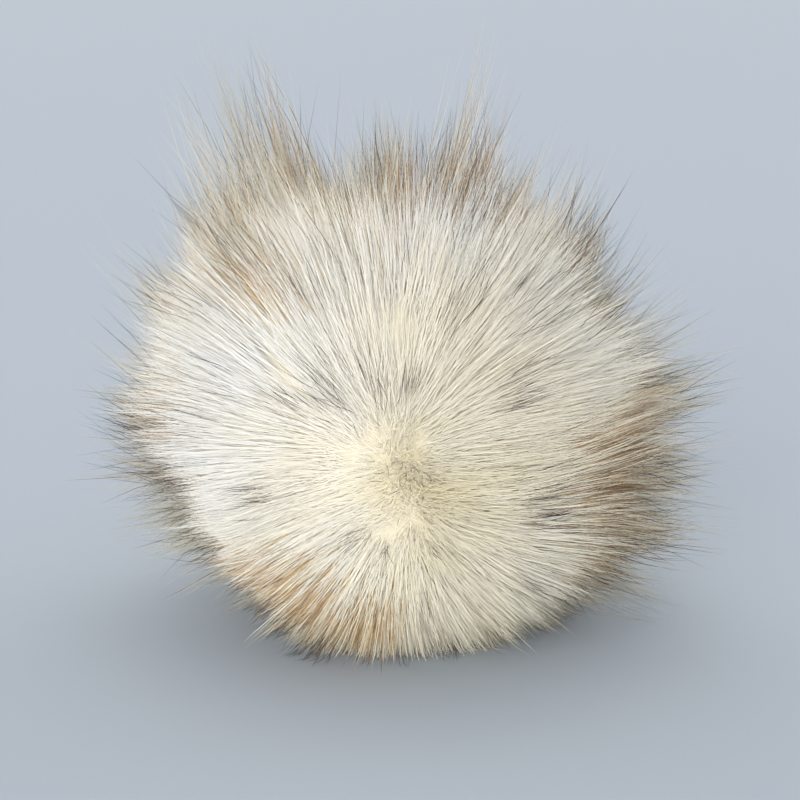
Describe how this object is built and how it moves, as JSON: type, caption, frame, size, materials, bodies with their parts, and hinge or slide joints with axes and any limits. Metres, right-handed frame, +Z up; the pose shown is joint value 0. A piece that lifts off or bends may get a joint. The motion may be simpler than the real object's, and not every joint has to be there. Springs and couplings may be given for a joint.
{
  "type": "pom pom",
  "caption": "Long-haired faux fur pom pom for a knitted hat, a gathered ball of uneven radial locks with longer guard-hair tufts at the top.",
  "frame": {"origin": "middle of the small flat spot that the pom pom rests on, at the surface", "axes": "+Z up, away from the surface; +X to the right and +Y away from the viewer, seen from the side with the tallest tufts at upper left"},
  "size_m": [0.1647, 0.1687, 0.1441],
  "materials": {
    "fur": "long cream pile with tan bands and dark hair tips"
  },
  "bodies": {
    "root": {"fur_ball": "fur"}
  },
  "joints": []
}
